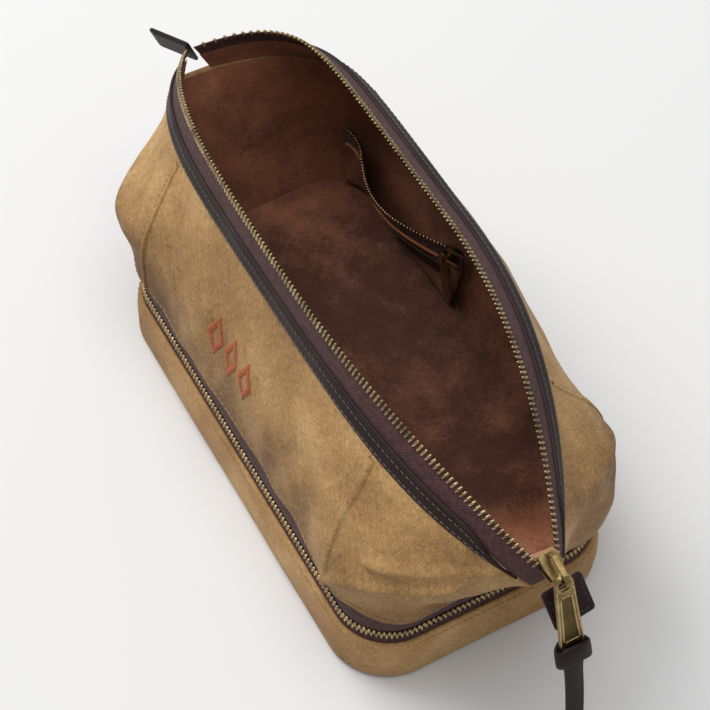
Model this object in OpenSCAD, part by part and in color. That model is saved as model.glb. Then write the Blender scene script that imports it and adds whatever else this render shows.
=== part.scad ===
// Soft shaving kit bag: canvas upper bag on a zipped lower compartment.
// Origin: centre of the base on the table. X: length (main slider at +X). -Y: front. Z: up.

/* [Base] */
// Length of the lower zip line
base_l = 254; // [240:1:270]
// Width of the lower zip line
base_w = 135; // [128:1:142]
// Plan corner radius of the lower zip line
corner_r = 28; // [24:1:32]
// Height of the lower zip's centre line
zip_z = 33; // [31:0.5:36]
// Outward swell of the lower band past the zip line
band_swell = 2.6; // [1.5:0.1:3.5]
// Thickness of the canvas
canvas_t = 2; // [1.4:0.1:2.2]

/* [Mouth] */
// Height of the two ends of the main zip
end_z = 110; // [106:1:114]
// Rise of the front teeth line at mid length
front_rise = 33; // [28:1:36]
// Forward spread of the front teeth line at mid length
front_spread = 36; // [32:1:38]
// Rise of the back teeth line at mid length
back_rise = 21; // [18:1:24]
// Backward spread of the back teeth line at mid length
back_spread = 45; // [42:1:47]
// Share of the rim flap that the leather trim covers
trim_share = 0.44; // [0.38:0.01:0.48]

/* [Hardware] */
// Spacing of the zip teeth
tooth_pitch = 2.5; // [2.5:0.5:4]
// Length of the main slider body
slider_l = 12; // [11:0.5:13]
// Width of the main slider body
slider_w = 9; // [8.5:0.5:10]
// Length of the main pull tab
pull_l = 37; // [34:1:38]
// Width of the main pull tab at its foot
pull_w = 12; // [11:0.5:13]
// Length of the leather strap below the pull tab
strap_l = 58; // [50:1:60]

/* [Hidden] */
half_l = base_l / 2;
half_w = base_w / 2;
board_t = 2;
floor_z = zip_z + 3.6;
shell_z = zip_z + 5;
tape_t = 0.9;
lining_t = 1.1;
lining_gap = 0.8;
teeth_gap = 0.7;
lower_tooth_h = 2.2;
tooth_w = 1.1;
tooth_h = 2.6;
tooth_len = 3;
hinge_half = half_l - corner_r;
straight_x = half_l - corner_r;
straight_y = half_w - corner_r;
arc_l = PI / 2 * corner_r;
half_path = 2 * straight_x + 2 * arc_l + 2 * straight_y;
seam_s = 94;
rim_seam_near = 80;
rim_seam_far = -108;
near_x = 164;
far_x = -178;
rim_mid = (near_x + far_x) / 2;
rim_half = (near_x - far_x) / 2;
trim_near = 159;
trim_far = -173;
trim_half = (trim_near - trim_far) / 2;
end_gap_y = 8;
trim_z = end_z - 12;
rows = 8;
flap_steps = 56;
canvas_c = [0.67, 0.52, 0.34];
dark_c = [0.2, 0.16, 0.16];
tape_c = [0.32, 0.22, 0.22];
brass_c = [0.6, 0.5, 0.3];
lining_c = [0.6, 0.36, 0.22];
thread_c = [0.72, 0.38, 0.2];

// ---- general helpers ----
function mix(a, b, t) = a * (1 - t) + b * t;
function unit(v) = v / norm(v);
function ease(t) = (1 - cos(180 * t)) / 2;

// Piecewise eased value from [position, value] keys.
function keyed(k, x, i = 0) =
  x <= k[0][0] ? k[0][1]
  : i >= len(k) - 1 ? k[len(k) - 1][1]
  : x <= k[i + 1][0] ? mix(k[i][1], k[i + 1][1], ease((x - k[i][0]) / (k[i + 1][0] - k[i][0])))
  : keyed(k, x, i + 1);

// Closed solid from a list of closed rings that all have the same count of points.
module skin(rings, closed = false) {
  n = len(rings);
  m = len(rings[0]);
  last = closed ? n - 1 : n - 2;
  sides = [for (i = [0 : last]) for (j = [0 : m - 1])
    let (a = i * m + j, b = i * m + (j + 1) % m, c = ((i + 1) % n) * m + (j + 1) % m, d = ((i + 1) % n) * m + j)
    each [[a, c, b], [a, d, c]]];
  half = m / 2;
  caps = closed ? [] : [for (j = [0 : half - 2])
    each [[j, j + 1, m - 2 - j], [j, m - 2 - j, m - 1 - j]]];
  far_caps = [for (f = caps) [for (k = [2 : -1 : 0]) f[k] + (n - 1) * m]];
  polyhedron([for (r = rings) each r], concat(sides, caps, far_caps));
}

// ---- rounded rectangle path, s = 0 at the middle of the front, positive towards +X ----
function wrap(s) = s > half_path ? s - 2 * half_path : s < -half_path ? s + 2 * half_path : s;
function path_pt(s0, d) =
  let (s = wrap(s0), t = abs(s), sg = s < 0 ? -1 : 1, r = corner_r - d, w = half_w - d, l = half_l - d)
  t < straight_x ? [s, -w]
  : t < straight_x + arc_l ?
    let (g = (t - straight_x) / corner_r * 180 / PI) [sg * (straight_x + r * sin(g)), -straight_y - r * cos(g)]
  : t < straight_x + arc_l + 2 * straight_y ? [sg * l, t - straight_x - arc_l - straight_y]
  : t < straight_x + 2 * arc_l + 2 * straight_y ?
    let (g = (t - straight_x - arc_l - 2 * straight_y) / corner_r * 180 / PI)
    [sg * (straight_x + r * cos(g)), straight_y + r * sin(g)]
  : [sg * (straight_x - (t - straight_x - 2 * arc_l - 2 * straight_y)), w];
function path_dir(s) =
  let (a = path_pt(s - 0.5, 0), b = path_pt(s + 0.5, 0)) atan2(b[1] - a[1], b[0] - a[0]);
function path_out(s) = let (g = path_dir(s)) [sin(g), -cos(g)];

// ---- exact ring round the base: profile is [outward offset, height] ----
module base_ring(profile, back = true) {
  shifted = [for (p = profile) [p[0] + corner_r, p[1]]];
  for (q = [0 : 3])
    translate([(q == 0 || q == 3 ? 1 : -1) * straight_x, (q < 2 ? 1 : -1) * straight_y, 0])
      rotate([0, 0, 90 * q])
        rotate_extrude(angle = 90, $fn = 72)
          polygon(shifted);
  for (m = [0 : 1])
    mirror([m, 0, 0])
      translate([straight_x, straight_y, 0])
        rotate([90, 0, 0])
          linear_extrude(2 * straight_y)
            polygon(shifted);
  for (m = back ? [0 : 1] : [1])
    mirror([0, m, 0])
      translate([-straight_x, straight_y, 0])
        rotate([90, 0, 90])
          linear_extrude(2 * straight_x)
            polygon(shifted);
}

module plate(inset, z0, z1) {
  r = corner_r - inset;
  translate([0, 0, z0])
    linear_extrude(z1 - z0)
      union() {
        square([2 * straight_x, 2 * (straight_y + r)], center = true);
        square([2 * (straight_x + r), 2 * straight_y], center = true);
        for (x = [-1, 1], y = [-1, 1])
          translate([x * straight_x, y * straight_y])
            circle(r, $fn = 72);
      }
}

// ---- mouth curves ----
function swell(x, mid, half, n_far, n_near) =
  let (t = (x - mid) / half) 1 - pow(min(1, abs(t)), t < 0 ? n_far : n_near);
function front_line(u) =
  let (x = mix(far_x, near_x, u), g = swell(x, rim_mid, rim_half, 3.5, 2))
  [x, -front_spread * g - 1.2, end_z + front_rise * g];
function back_line(u) =
  let (x = mix(far_x, near_x, u), g = swell(x, rim_mid, rim_half, 9, 1.9))
  [x, back_spread * g + 1.2, end_z + back_rise * g];
function front_hem_x(x) =
  let (g = swell(x, (trim_near + trim_far) / 2, trim_half, 5, 4))
  [x, -end_gap_y - (front_spread - 2) * g, trim_z + (front_rise - 15) * g];
function back_hem_x(x) =
  let (g = swell(x, (trim_near + trim_far) / 2, trim_half, 8, 2))
  [x, end_gap_y + (back_spread + 9) * g, trim_z + (back_rise - 10) * g];
function front_hem(u) = front_hem_x(mix(trim_far, trim_near, u));
function back_hem(u) = back_hem_x(mix(trim_far, trim_near, u));

// Point of a rim flap: w = 0 at the hem, 1 at the teeth, off = lift from the flap.
function flap(side, u, w, off) =
  let (h = side < 0 ? front_hem(u) : back_hem(u), c = side < 0 ? front_line(u) : back_line(u),
    h2 = side < 0 ? front_hem(min(1, u + 0.01)) : back_hem(min(1, u + 0.01)),
    h0 = side < 0 ? front_hem(max(0, u - 0.01)) : back_hem(max(0, u - 0.01)),
    n = unit(cross(h2 - h0, c - h)) * (side < 0 ? 1 : -1))
  mix(h, c, w) + n * off;
function flap_w(side, u) = norm((side < 0 ? front_line(u) : back_line(u)) - (side < 0 ? front_hem(u) : back_hem(u)));
// Strip of a rim from share w0 to share w1; keep > 0 ends it that many mm short of the teeth line instead.
module ribbon(side, w0, w_end, t0, t1, u0, u1, keep = 0) {
  flip = side > 0;
  skin([for (i = [0 : flap_steps])
    let (u = mix(u0, u1, ease(i / flap_steps)), w1 = keep > 0 ? 1 - keep / flap_w(side, u) : w_end,
      ring = [flap(side, u, w0, t0), flap(side, u, w1, t0), flap(side, u, w1, t1), flap(side, u, w0, t1)])
    flip ? [for (k = [3 : -1 : 0]) ring[k]] : ring]);
}
module teeth_row(side) {
  count = floor(2 * rim_half / tooth_pitch) - 7;
  for (i = [0 : count - 1])
    let (u = (i + 3.5 + (side < 0 ? 0 : 0.5)) * tooth_pitch / (2 * rim_half),
      p = flap(side, u, 1, 0), q = flap(side, u, 0.8, 0),
      f = side < 0 ? front_line(u + 0.004) : back_line(u + 0.004),
      along = unit(f - p), up = unit(p - q), n = cross(along, up))
    multmatrix([[along[0], up[0], n[0], p[0]], [along[1], up[1], n[1], p[1]], [along[2], up[2], n[2], p[2]]])
      translate([-tooth_w / 2, -tooth_len, -tooth_h / 2])
        cube([tooth_w, tooth_len, tooth_h]);
}

// ---- upper shell: s along the base path, v = 0 at the base and 1 at the hem ----
bulge_keys = [[0, 4], [60, 6], [112, 12], [half_path / 2, -2], [half_path - 112, 11], [half_path, 13]];
function rim_pt(s0) =
  let (s = wrap(s0), t = abs(s), sg = s < 0 ? -1 : 1, k = (t - seam_s) / (half_path - 2 * seam_s),
    end = sg > 0 ? trim_near : trim_far, seam = sg > 0 ? rim_seam_near : rim_seam_far,
    c = (rim_seam_near + rim_seam_far) / 2, hw = (rim_seam_near - rim_seam_far) / 2)
  t <= seam_s ? front_hem_x(c + s / seam_s * hw)
  : k < 0.46 ? front_hem_x(mix(seam, end, sin(90 * k / 0.46)))
  : k <= 0.54 ? mix(front_hem_x(end), back_hem_x(end), (k - 0.46) / 0.08)
  : k < 1 ? back_hem_x(mix(seam, end, sin(90 * (1 - k) / 0.46)))
  : back_hem_x(c + sg * (half_path - t) / seam_s * hw);
function shell_pt(s, v, d) =
  let (b = path_pt(s, 1.4), o = path_out(s), r = rim_pt(s), p = mix([b[0], b[1], shell_z], r, v),
    a = keyed(bulge_keys, abs(wrap(s))) * sin(180 * pow(v, 0.9)) - d)
  [p[0] + o[0] * a, p[1] + o[1] * a, p[2]];
module shell_patch(s0, s1, v0, v1, d0, d1, steps) {
  skin([for (i = [0 : steps])
    let (s = mix(s0, s1, i / steps))
    concat([for (j = [0 : rows]) shell_pt(s, mix(v0, v1, j / rows), d1)],
      [for (j = [rows : -1 : 0]) shell_pt(s, mix(v0, v1, j / rows), d0)])]);
}
module seam_roll(s) {
  turn = [for (k = [0 : 5]) 60 * k];
  skin([for (j = [0 : 14])
    let (v = mix(0.03, 0.95, j / 14), p = shell_pt(s, v, -1.25))
    [for (g = turn) p + [1.1 * cos(g), 1.1 * sin(g), 0]]]);
}

// ---- lower compartment ----
module base_board()
  color(lining_c) plate(3.2, canvas_t + 0.1, canvas_t + board_t);
module base_panel()
  color(canvas_c) plate(1, 0, canvas_t);
module tray_wall()
  color(canvas_c)
    base_ring([[-0.9, 0], [1.2, 0.3], [band_swell, 3], [band_swell, 20], [0, zip_z - 4.6],
      [-canvas_t, zip_z - 4.6], [band_swell - canvas_t, 19], [band_swell - canvas_t, 4], [-0.9, canvas_t]]);
module tray_lining()
  color(lining_c)
    base_ring([[-1.1, canvas_t + 0.2], [0.3, 4.4], [0.3, 18.6], [-canvas_t - 0.4, zip_z - 5],
      [-canvas_t - 1.6, zip_z - 5], [-1, 18], [-1, 5.4], [-2.3, canvas_t + 0.2]]);
module hinge_tape()
  color(canvas_c)
    translate([-hinge_half, half_w - 1.5, zip_z - 4.6])
      cube([2 * hinge_half, 1, 4.2]);
module lower_tape_lower()
  color(tape_c)
    base_ring([[-2.6, zip_z - 4.9], [-2.6, zip_z - teeth_gap - lower_tooth_h],
      [-3.4, zip_z - teeth_gap - lower_tooth_h], [-3.4, zip_z - 4.9]], back = false);

module lower_row(up) {
  reach = half_path - straight_x - 1;
  count = floor(reach / tooth_pitch);
  for (i = [-count : count - 1])
    let (s = (i + (up > 0 ? 0.75 : 0.25)) * tooth_pitch, p = path_pt(s, 3))
    translate([p[0], p[1], zip_z + up * teeth_gap])
      rotate([0, 0, path_dir(s)])
        translate([-tooth_w / 2, -tooth_h / 2, up > 0 ? 0 : -lower_tooth_h])
          cube([tooth_w, tooth_h, lower_tooth_h]);
}
module lower_teeth_lower()
  color(brass_c) lower_row(-1);
module lower_teeth_upper()
  color(brass_c) lower_row(1);

// ---- upper bag ----
module lower_tape_upper()
  color(tape_c)
    base_ring([[-2.6, zip_z + teeth_gap + lower_tooth_h], [-2.6, floor_z], [-3.4, floor_z],
      [-3.4, zip_z + teeth_gap + lower_tooth_h]], back = false);
module divider_floor()
  color(lining_c) plate(1.6, floor_z, shell_z - 0.1);
module front_panel()
  color(canvas_c) shell_patch(-seam_s, seam_s, 0, 0.975, 0, canvas_t, 20);
module back_panel()
  color(canvas_c) shell_patch(half_path - seam_s, half_path + seam_s, 0, 0.975, 0, canvas_t, 20);
module near_gusset()
  color(canvas_c) shell_patch(seam_s + 0.2, half_path - seam_s - 0.2, 0, 0.975, 0, canvas_t, 34);
module far_gusset()
  color(canvas_c) shell_patch(seam_s - half_path + 0.2, -seam_s - 0.2, 0, 0.975, 0, canvas_t, 34);
module main_lining()
  color(lining_c)
    skin([for (i = [0 : 87])
      let (s = half_path * (2 * i / 88 - 1))
      concat([for (j = [0 : rows]) shell_pt(s, mix(0.03, 0.95, j / rows), canvas_t + lining_gap + lining_t)],
        [for (j = [rows : -1 : 0]) shell_pt(s, mix(0.03, 0.95, j / rows), canvas_t + lining_gap)])], closed = true);
module front_seam_near()
  color(canvas_c) seam_roll(seam_s);
module front_seam_far()
  color(canvas_c) seam_roll(-seam_s);
module back_seam_near()
  color(canvas_c) seam_roll(half_path - seam_s);
module back_seam_far()
  color(canvas_c) seam_roll(seam_s - half_path);

// Row of diamonds worked in thread on the front panel.
motif_s = -10;
motif_v = 0.52;
module stitched_motif()
  color(thread_c)
    for (i = [-1 : 1])
      let (p = shell_pt(motif_s + 15 * i, motif_v, 0), q = shell_pt(motif_s + 15 * i, motif_v + 0.1, 0),
        lean = atan2(q[1] - p[1], q[2] - p[2]))
        translate(p)
          rotate([90 - lean, 0, 0])
            translate([0, 0, 0.5])
              linear_extrude(0.7)
                difference() {
                  polygon([[-6, 0], [0, -9], [6, 0], [0, 9]]);
                  polygon([[-3.4, 0], [0, -5.4], [3.4, 0], [0, 5.4]]);
                }

// ---- ends of the main zip ----
tab_w = 21;
tab_l = 18;
tab_t = 1.6;
module near_end_tab()
  color(dark_c)
    translate([163.5, 4.5, end_z - 12])
      rotate([0, 45, 6])
        translate([0, -tab_w / 2, -tab_t / 2])
          cube([tab_l, tab_w, tab_t]);
module far_end_tab()
  color(dark_c)
    translate([far_x - 1.5, -1, end_z - 3])
      rotate([0, 0, 33])
        rotate([25, 0, 0])
          translate([-tab_l - 2, -tab_t / 2, -tab_w / 2])
            cube([tab_l + 2, tab_t, tab_w]);

// ---- inner zipped pocket on the back wall ----
// The pocket hugs the lining from pocket_far to pocket_near along the back and gapes by pocket_out.
pocket_far = -120;
pocket_near = -20;
pocket_v0 = 0.05;
pocket_v1 = 0.4;
pocket_out = 20;
pocket_face = canvas_t + lining_gap + lining_t + 2.2;
function pocket_pt(t, v, d) =
  shell_pt(half_path - mix(pocket_far, pocket_near, t), mix(pocket_v0, pocket_v1, v),
    pocket_face + pocket_out * pow(sin(180 * t), 1.2) * pow(v, 0.7) + d);
// Strip of the pocket between shares t0-t1 along and v0-v1 up, from depth d0 to depth d1.
module pocket_sheet(v0, v1, d0, d1, t0 = 0, t1 = 1, steps = 26, high = 5) {
  skin([for (i = [0 : steps])
    let (t = mix(t0, t1, i / steps))
    concat([for (j = [0 : high]) pocket_pt(t, mix(v0, v1, j / high), d0)],
      [for (j = [high : -1 : 0]) pocket_pt(t, mix(v0, v1, j / high), d1)])]);
}
module pocket_panel()
  color(lining_c) pocket_sheet(0, 0.84, 0, 1);
module pocket_tape()
  color(tape_c) pocket_sheet(0.86, 1, 0.1, 0.9);
module pocket_teeth()
  color(brass_c) {
    count = 36;
    for (i = [0 : count - 1])
      let (t = mix(0.05, 0.88, i / (count - 1)), p = pocket_pt(t, 1, 0.5), q = pocket_pt(t + 0.005, 1, 0.5))
        translate([p[0], p[1], p[2] + 0.1])
          rotate([0, 0, atan2(q[1] - p[1], q[0] - p[0])])
            translate([-0.5, -0.9, 0])
              cube([1, 1.8, 1.6]);
  }
module pocket_strip()
  color(dark_c) pocket_sheet(0.55, 0.76, 1.3, 2.6, 0.66, 0.95, 8, 1);

// ---- rims ----
flap_a = 0.035;
tape_a = trim_share + 0.01;
module front_trim()
  color(dark_c) ribbon(-1, flap_a, trim_share, -1, 1, 0.004, 0.985);
module back_trim()
  color(dark_c) ribbon(1, flap_a, trim_share, -1, 1, 0.004, 0.985);
module front_tape()
  color(tape_c) ribbon(-1, tape_a, 1, -tape_t / 2, tape_t / 2, 0.002, 0.983, tooth_len + 0.3);
module back_tape()
  color(tape_c) ribbon(1, tape_a, 1, -tape_t / 2, tape_t / 2, 0.002, 0.983, tooth_len + 0.3);
module front_teeth()
  color(brass_c) teeth_row(-1);
module back_teeth()
  color(brass_c) teeth_row(1);

// ---- main slider, pull and strap ----
slider_x = 161;
slider_z = end_z + 1.5;
slider_tilt = 20;
plate_t = 1.1;
throat = 3.4;
bridge_w = 2.2;
bar_x = 8.2;
bar_z = throat / 2 + plate_t + 1.3;
pull_x = slider_x + bar_x * cos(slider_tilt) + bar_z * sin(slider_tilt);
pivot_z = slider_z - bar_x * sin(slider_tilt) + bar_z * cos(slider_tilt);
eye_clear = 1.6;
ring_w = 1.4;
// Outward lean of the resting pull, which lies on the near leather tab.
pull_lean = 22;
module slider_body(l, w, gap, t, post) {
  for (m = [0 : 1])
    mirror([0, 0, m])
      translate([0, 0, gap / 2])
        linear_extrude(t)
          polygon([[-l / 2, -w * 0.32], [-l / 2 + 1, -w / 2], [0, -w / 2], [l / 2, -w * 0.36],
            [l / 2, w * 0.36], [0, w / 2], [-l / 2 + 1, w / 2], [-l / 2, w * 0.32]]);
  translate([-l / 2 + 0.6, -post / 2, -gap / 2 - 0.1])
    cube([2.6, post, gap + 0.2]);
}
module main_slider()
  color(brass_c)
    translate([slider_x, 0, slider_z])
      rotate([0, slider_tilt, 0]) {
        slider_body(slider_l, slider_w, throat, plate_t, 1.6);
        translate([0, bridge_w / 2, throat / 2 + plate_t - 0.1])
          rotate([90, 0, 0])
            linear_extrude(bridge_w)
              difference() {
                polygon([[-5.4, 0], [-4.6, 4.4], [-2.6, 6], [7, 7], [10.2, 6.2], [11.4, 4.4], [11.2, 3.2],
                  [10.4, 2.2], [6.4, -0.8], [5.4, -0.8], [5.4, 0]]);
                polygon([[-3.8, -0.5], [-3.2, 3.4], [-1.8, 4.8], [7, 5.7], [9.4, 5.2], [10.1, 4.2], [9.8, 3.4],
                  [5.6, 0.2], [5, -0.5]]);
              }
      }
eye_r = 3.1;
pull_t = 1.5;
module main_pull()
  color(brass_c)
    translate([pull_x, pull_y, pivot_z])
      rotate([0, -pull_lean, 0])
        translate([0, 0, eye_clear - eye_r])
          rotate([90, 0, 90])
            difference() {
              translate([0, 0, -pull_t / 2])
                linear_extrude(pull_t)
                  difference() {
                    union() {
                      circle(eye_r + ring_w, $fn = 48);
                      polygon([[-eye_r - ring_w, 0], [-pull_w / 2, -pull_l], [pull_w / 2, -pull_l],
                        [eye_r + ring_w, 0]]);
                    }
                    circle(eye_r, $fn = 48);
                    translate([-foot_slot_w / 2, bar_foot - pull_l])
                      square([foot_slot_w, foot_slot_h]);
                  }
              translate([0, 0, pull_t / 2 - 0.4])
                linear_extrude(1)
                  polygon([[-2.9, -6], [-3.7, 7 - pull_l], [3.7, 7 - pull_l], [2.9, -6]]);
            }
pull_y = 0;
bar_foot = 1.6;
foot_slot_w = 8;
foot_slot_h = 3.2;
foot_drop = eye_r - eye_clear + pull_l - bar_foot / 2;
strap_x = pull_x + foot_drop * sin(pull_lean);
strap_pivot_z = pivot_z - foot_drop * cos(pull_lean);
strap_w = 9;
// Outward lean of the resting strap.
strap_lean = 12;
loop_gap = 0.4;
leaf_t = 1;
loop_w = 7.2;
loop_h = 3;
module pull_strap()
  color(dark_c)
    translate([strap_x, pull_y, strap_pivot_z]) {
      rotate([0, -pull_lean, 0])
        rotate([90, 0, 0])
          translate([0, 0, -loop_w / 2])
            linear_extrude(loop_w)
            difference() {
              square([pull_t + 2 * loop_gap + 2 * leaf_t, 2 * loop_h], center = true);
              square([pull_t + 2 * loop_gap, bar_foot + 2 * loop_gap], center = true);
            }
      rotate([0, -strap_lean, 0])
        translate([-0.95, -strap_w / 2, -strap_l])
          cube([1.9, strap_w, strap_l - 2.3]);
    }

// ---- small sliders ----
lower_s_y = 34;
lower_s_x = -half_l + 3;
lower_slider_w = 6.6;
lower_plate_t = 1;
lower_gap = 3.4;
lower_pull_x = -half_l - band_swell - 1;
pin_r = 1.2;
lower_pin_z = zip_z + 2.4;
module lower_slider()
  color(brass_c) {
    translate([lower_s_x, lower_s_y, zip_z])
      rotate([0, -90, 0])
        rotate([0, 0, 90])
          slider_body(slider_l, lower_slider_w, lower_gap, lower_plate_t, 0.8);
    translate([lower_pull_x - 2, lower_s_y, lower_pin_z])
      rotate([0, 90, 0])
        cylinder(r = pin_r, h = lower_s_x - lower_gap / 2 - 0.5 - lower_pull_x + 2, $fn = 32);
    translate([lower_pull_x - 2.4, lower_s_y, lower_pin_z])
      rotate([0, 90, 0])
        cylinder(r = 2.6, h = 0.8, $fn = 32);
  }
module lower_pull()
  color(brass_c)
    translate([lower_pull_x, lower_s_y, lower_pin_z])
      rotate([90, 0, -90])
        linear_extrude(1.2)
          difference() {
            union() {
              circle(3.4, $fn = 48);
              polygon([[-3.4, 0], [-4.4, -26], [4.4, -26], [3.4, 0]]);
            }
            circle(pin_r + 0.4, $fn = 48);
          }
pocket_slider_t = 0.955;
pocket_seat = pocket_pt(pocket_slider_t, 1, 0.5);
pocket_ahead = pocket_pt(pocket_slider_t + 0.02, 1, 0.5);
pocket_turn = atan2(pocket_ahead[1] - pocket_seat[1], pocket_ahead[0] - pocket_seat[0]);
pocket_lift = 1.2;
pocket_gap = 2.8;
pocket_plate = 0.9;
// Distances out from the slider's centre to the pull's plane and to the pin's head.
pocket_pull_out = 5.7;
pocket_pull_t = 1.1;
pocket_head_out = 7.2;
// Sideways lean of the resting pocket pull.
pocket_pull_lean = 20;
pocket_pull_l = 22;
module at_pocket_pin(out)
  translate([pocket_seat[0], pocket_seat[1] - out, pocket_seat[2] + pocket_lift])
    rotate([90, 0, 0])
      children();
module pocket_slider()
  color(brass_c) {
    translate([pocket_seat[0], pocket_seat[1], pocket_seat[2] + pocket_lift])
      rotate([0, 0, pocket_turn])
        rotate([90, 0, 0])
          slider_body(9, 6.6, pocket_gap, pocket_plate, 0.8);
    at_pocket_pin(2.1)
      cylinder(r = 1, h = pocket_head_out - 2, $fn = 32);
    at_pocket_pin(pocket_head_out)
      cylinder(r = 2.4, h = 0.8, $fn = 32);
  }
module pocket_pull()
  color(brass_c)
    at_pocket_pin(pocket_pull_out)
      rotate([0, 0, pocket_pull_lean])
        linear_extrude(pocket_pull_t)
          difference() {
            union() {
              circle(3.2, $fn = 48);
              polygon([[-3.2, 0], [-3.9, -pocket_pull_l], [3.9, -pocket_pull_l], [3.2, 0]]);
            }
            circle(1.4, $fn = 48);
          }

base_board();
base_panel();
tray_wall();
tray_lining();
hinge_tape();
lower_tape_lower();
lower_teeth_lower();
divider_floor();
front_panel();
back_panel();
near_gusset();
far_gusset();
main_lining();
front_seam_near();
front_seam_far();
back_seam_near();
back_seam_far();
lower_tape_upper();
lower_teeth_upper();
stitched_motif();
near_end_tab();
far_end_tab();
pocket_panel();
pocket_tape();
pocket_teeth();
pocket_strip();
front_trim();
front_tape();
front_teeth();
back_trim();
back_tape();
back_teeth();
main_slider();
main_pull();
pull_strap();
lower_slider();
lower_pull();
pocket_slider();
pocket_pull();
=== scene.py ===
import math

import bpy
import numpy as np
from mathutils import Matrix, Vector, noise


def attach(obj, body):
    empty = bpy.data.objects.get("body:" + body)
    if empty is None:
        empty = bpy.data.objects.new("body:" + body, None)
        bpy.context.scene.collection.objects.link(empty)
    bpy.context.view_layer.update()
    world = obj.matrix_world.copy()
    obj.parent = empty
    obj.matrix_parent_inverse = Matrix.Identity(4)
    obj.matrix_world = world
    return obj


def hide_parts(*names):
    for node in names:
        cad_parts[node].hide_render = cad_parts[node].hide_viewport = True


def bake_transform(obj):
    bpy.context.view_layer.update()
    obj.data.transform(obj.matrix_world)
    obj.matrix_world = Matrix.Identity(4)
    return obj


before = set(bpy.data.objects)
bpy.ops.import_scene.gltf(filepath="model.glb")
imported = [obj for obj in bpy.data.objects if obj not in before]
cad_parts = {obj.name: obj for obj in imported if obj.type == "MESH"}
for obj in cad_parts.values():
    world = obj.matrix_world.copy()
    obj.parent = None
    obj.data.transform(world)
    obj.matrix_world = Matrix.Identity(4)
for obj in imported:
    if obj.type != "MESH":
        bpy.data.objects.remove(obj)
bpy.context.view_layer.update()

MM = 0.001

# ---------------------------------------------------------------- the bag's own sizes, in mm
# These are the CAD's, apart from the back hem, which stands 4 mm further out and 4 mm higher than there.
HALF_L, HALF_W, CORNER_R = 127.0, 67.5, 28.0
ZIP_Z, SHELL_Z, FLOOR_Z = 33.0, 38.0, 36.6
CANVAS_T = 2.0
STRAIGHT_X, STRAIGHT_Y = HALF_L - CORNER_R, HALF_W - CORNER_R
ARC = math.pi / 2 * CORNER_R
HALF_PATH = 2 * STRAIGHT_X + 2 * ARC + 2 * STRAIGHT_Y
SEAM_S = 94.0
END_Z = 110.0
NEAR_X, FAR_X = 164.0, -178.0
TRIM_NEAR, TRIM_FAR, TRIM_Z, END_GAP = 159.0, -173.0, END_Z - 12, 8.0
FRONT_RISE, FRONT_SPREAD, BACK_RISE, BACK_SPREAD = 33.0, 36.0, 21.0, 45.0
# From the ends of the mouth to mid length, each hem spreads and rises by another amount than its teeth line
FRONT_HEM_LESS, FRONT_HEM_DROP = 2.0, 15.0  # how much less the front hem spreads, and less it rises
BACK_HEM_MORE, BACK_HEM_DROP = 13.0, 6.0  # how much more the back hem spreads, and less it rises
TEETH_OFF = 1.2  # half the gap between the two teeth lines at the ends of the mouth
PITCH = 2.5  # of the zip teeth
TOOTH_ROW = 342.0  # the mouth's length along X, on which the pitch of its teeth is laid out


def mix(a, b, t):
    return a * (1 - t) + b * t


def ease(t):
    return (1 - math.cos(math.pi * t)) / 2


def unit(v):
    n = np.linalg.norm(v)
    return v / n if n > 1e-12 else v


def keyed(keys, x):
    if x <= keys[0][0]:
        return keys[0][1]
    for (xa, a), (xb, b) in zip(keys, keys[1:]):
        if x <= xb:
            return mix(a, b, ease((x - xa) / (xb - xa)))
    return keys[-1][1]


def wrap(s):
    return s - 2 * HALF_PATH if s > HALF_PATH else s + 2 * HALF_PATH if s < -HALF_PATH else s


def path_pt(s, d):
    """Point of the rounded base outline, s from the middle of the front towards +X, d inset."""
    s = wrap(s)
    t, sg = abs(s), -1 if s < 0 else 1
    r, w, length = CORNER_R - d, HALF_W - d, HALF_L - d
    if t < STRAIGHT_X:
        return np.array([s, -w])
    if t < STRAIGHT_X + ARC:
        g = (t - STRAIGHT_X) / CORNER_R
        return np.array([sg * (STRAIGHT_X + r * math.sin(g)), -STRAIGHT_Y - r * math.cos(g)])
    if t < STRAIGHT_X + ARC + 2 * STRAIGHT_Y:
        return np.array([sg * length, t - STRAIGHT_X - ARC - STRAIGHT_Y])
    if t < STRAIGHT_X + 2 * ARC + 2 * STRAIGHT_Y:
        g = (t - STRAIGHT_X - ARC - 2 * STRAIGHT_Y) / CORNER_R
        return np.array([sg * (STRAIGHT_X + r * math.cos(g)), STRAIGHT_Y + r * math.sin(g)])
    return np.array([sg * (STRAIGHT_X - (t - STRAIGHT_X - 2 * ARC - 2 * STRAIGHT_Y)), w])


def path_dir(s):
    return unit(path_pt(s + 0.5, 0) - path_pt(s - 0.5, 0))


def path_out(s):
    d = path_dir(s)
    return np.array([d[1], -d[0]])


def swell(x, mid, half, n_far, n_near):
    t = (x - mid) / half
    return 1 - min(1.0, abs(t)) ** (n_far if t < 0 else n_near)


def teeth_line(side, u):
    x = mix(FAR_X, NEAR_X, u)
    mid, half = (NEAR_X + FAR_X) / 2, (NEAR_X - FAR_X) / 2
    if side < 0:
        g = swell(x, mid, half, 3.5, 2)
        return np.array([x, -FRONT_SPREAD * g - TEETH_OFF, END_Z + FRONT_RISE * g])
    g = swell(x, mid, half, 9, 1.9)
    return np.array([x, BACK_SPREAD * g + TEETH_OFF, END_Z + BACK_RISE * g])


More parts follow.
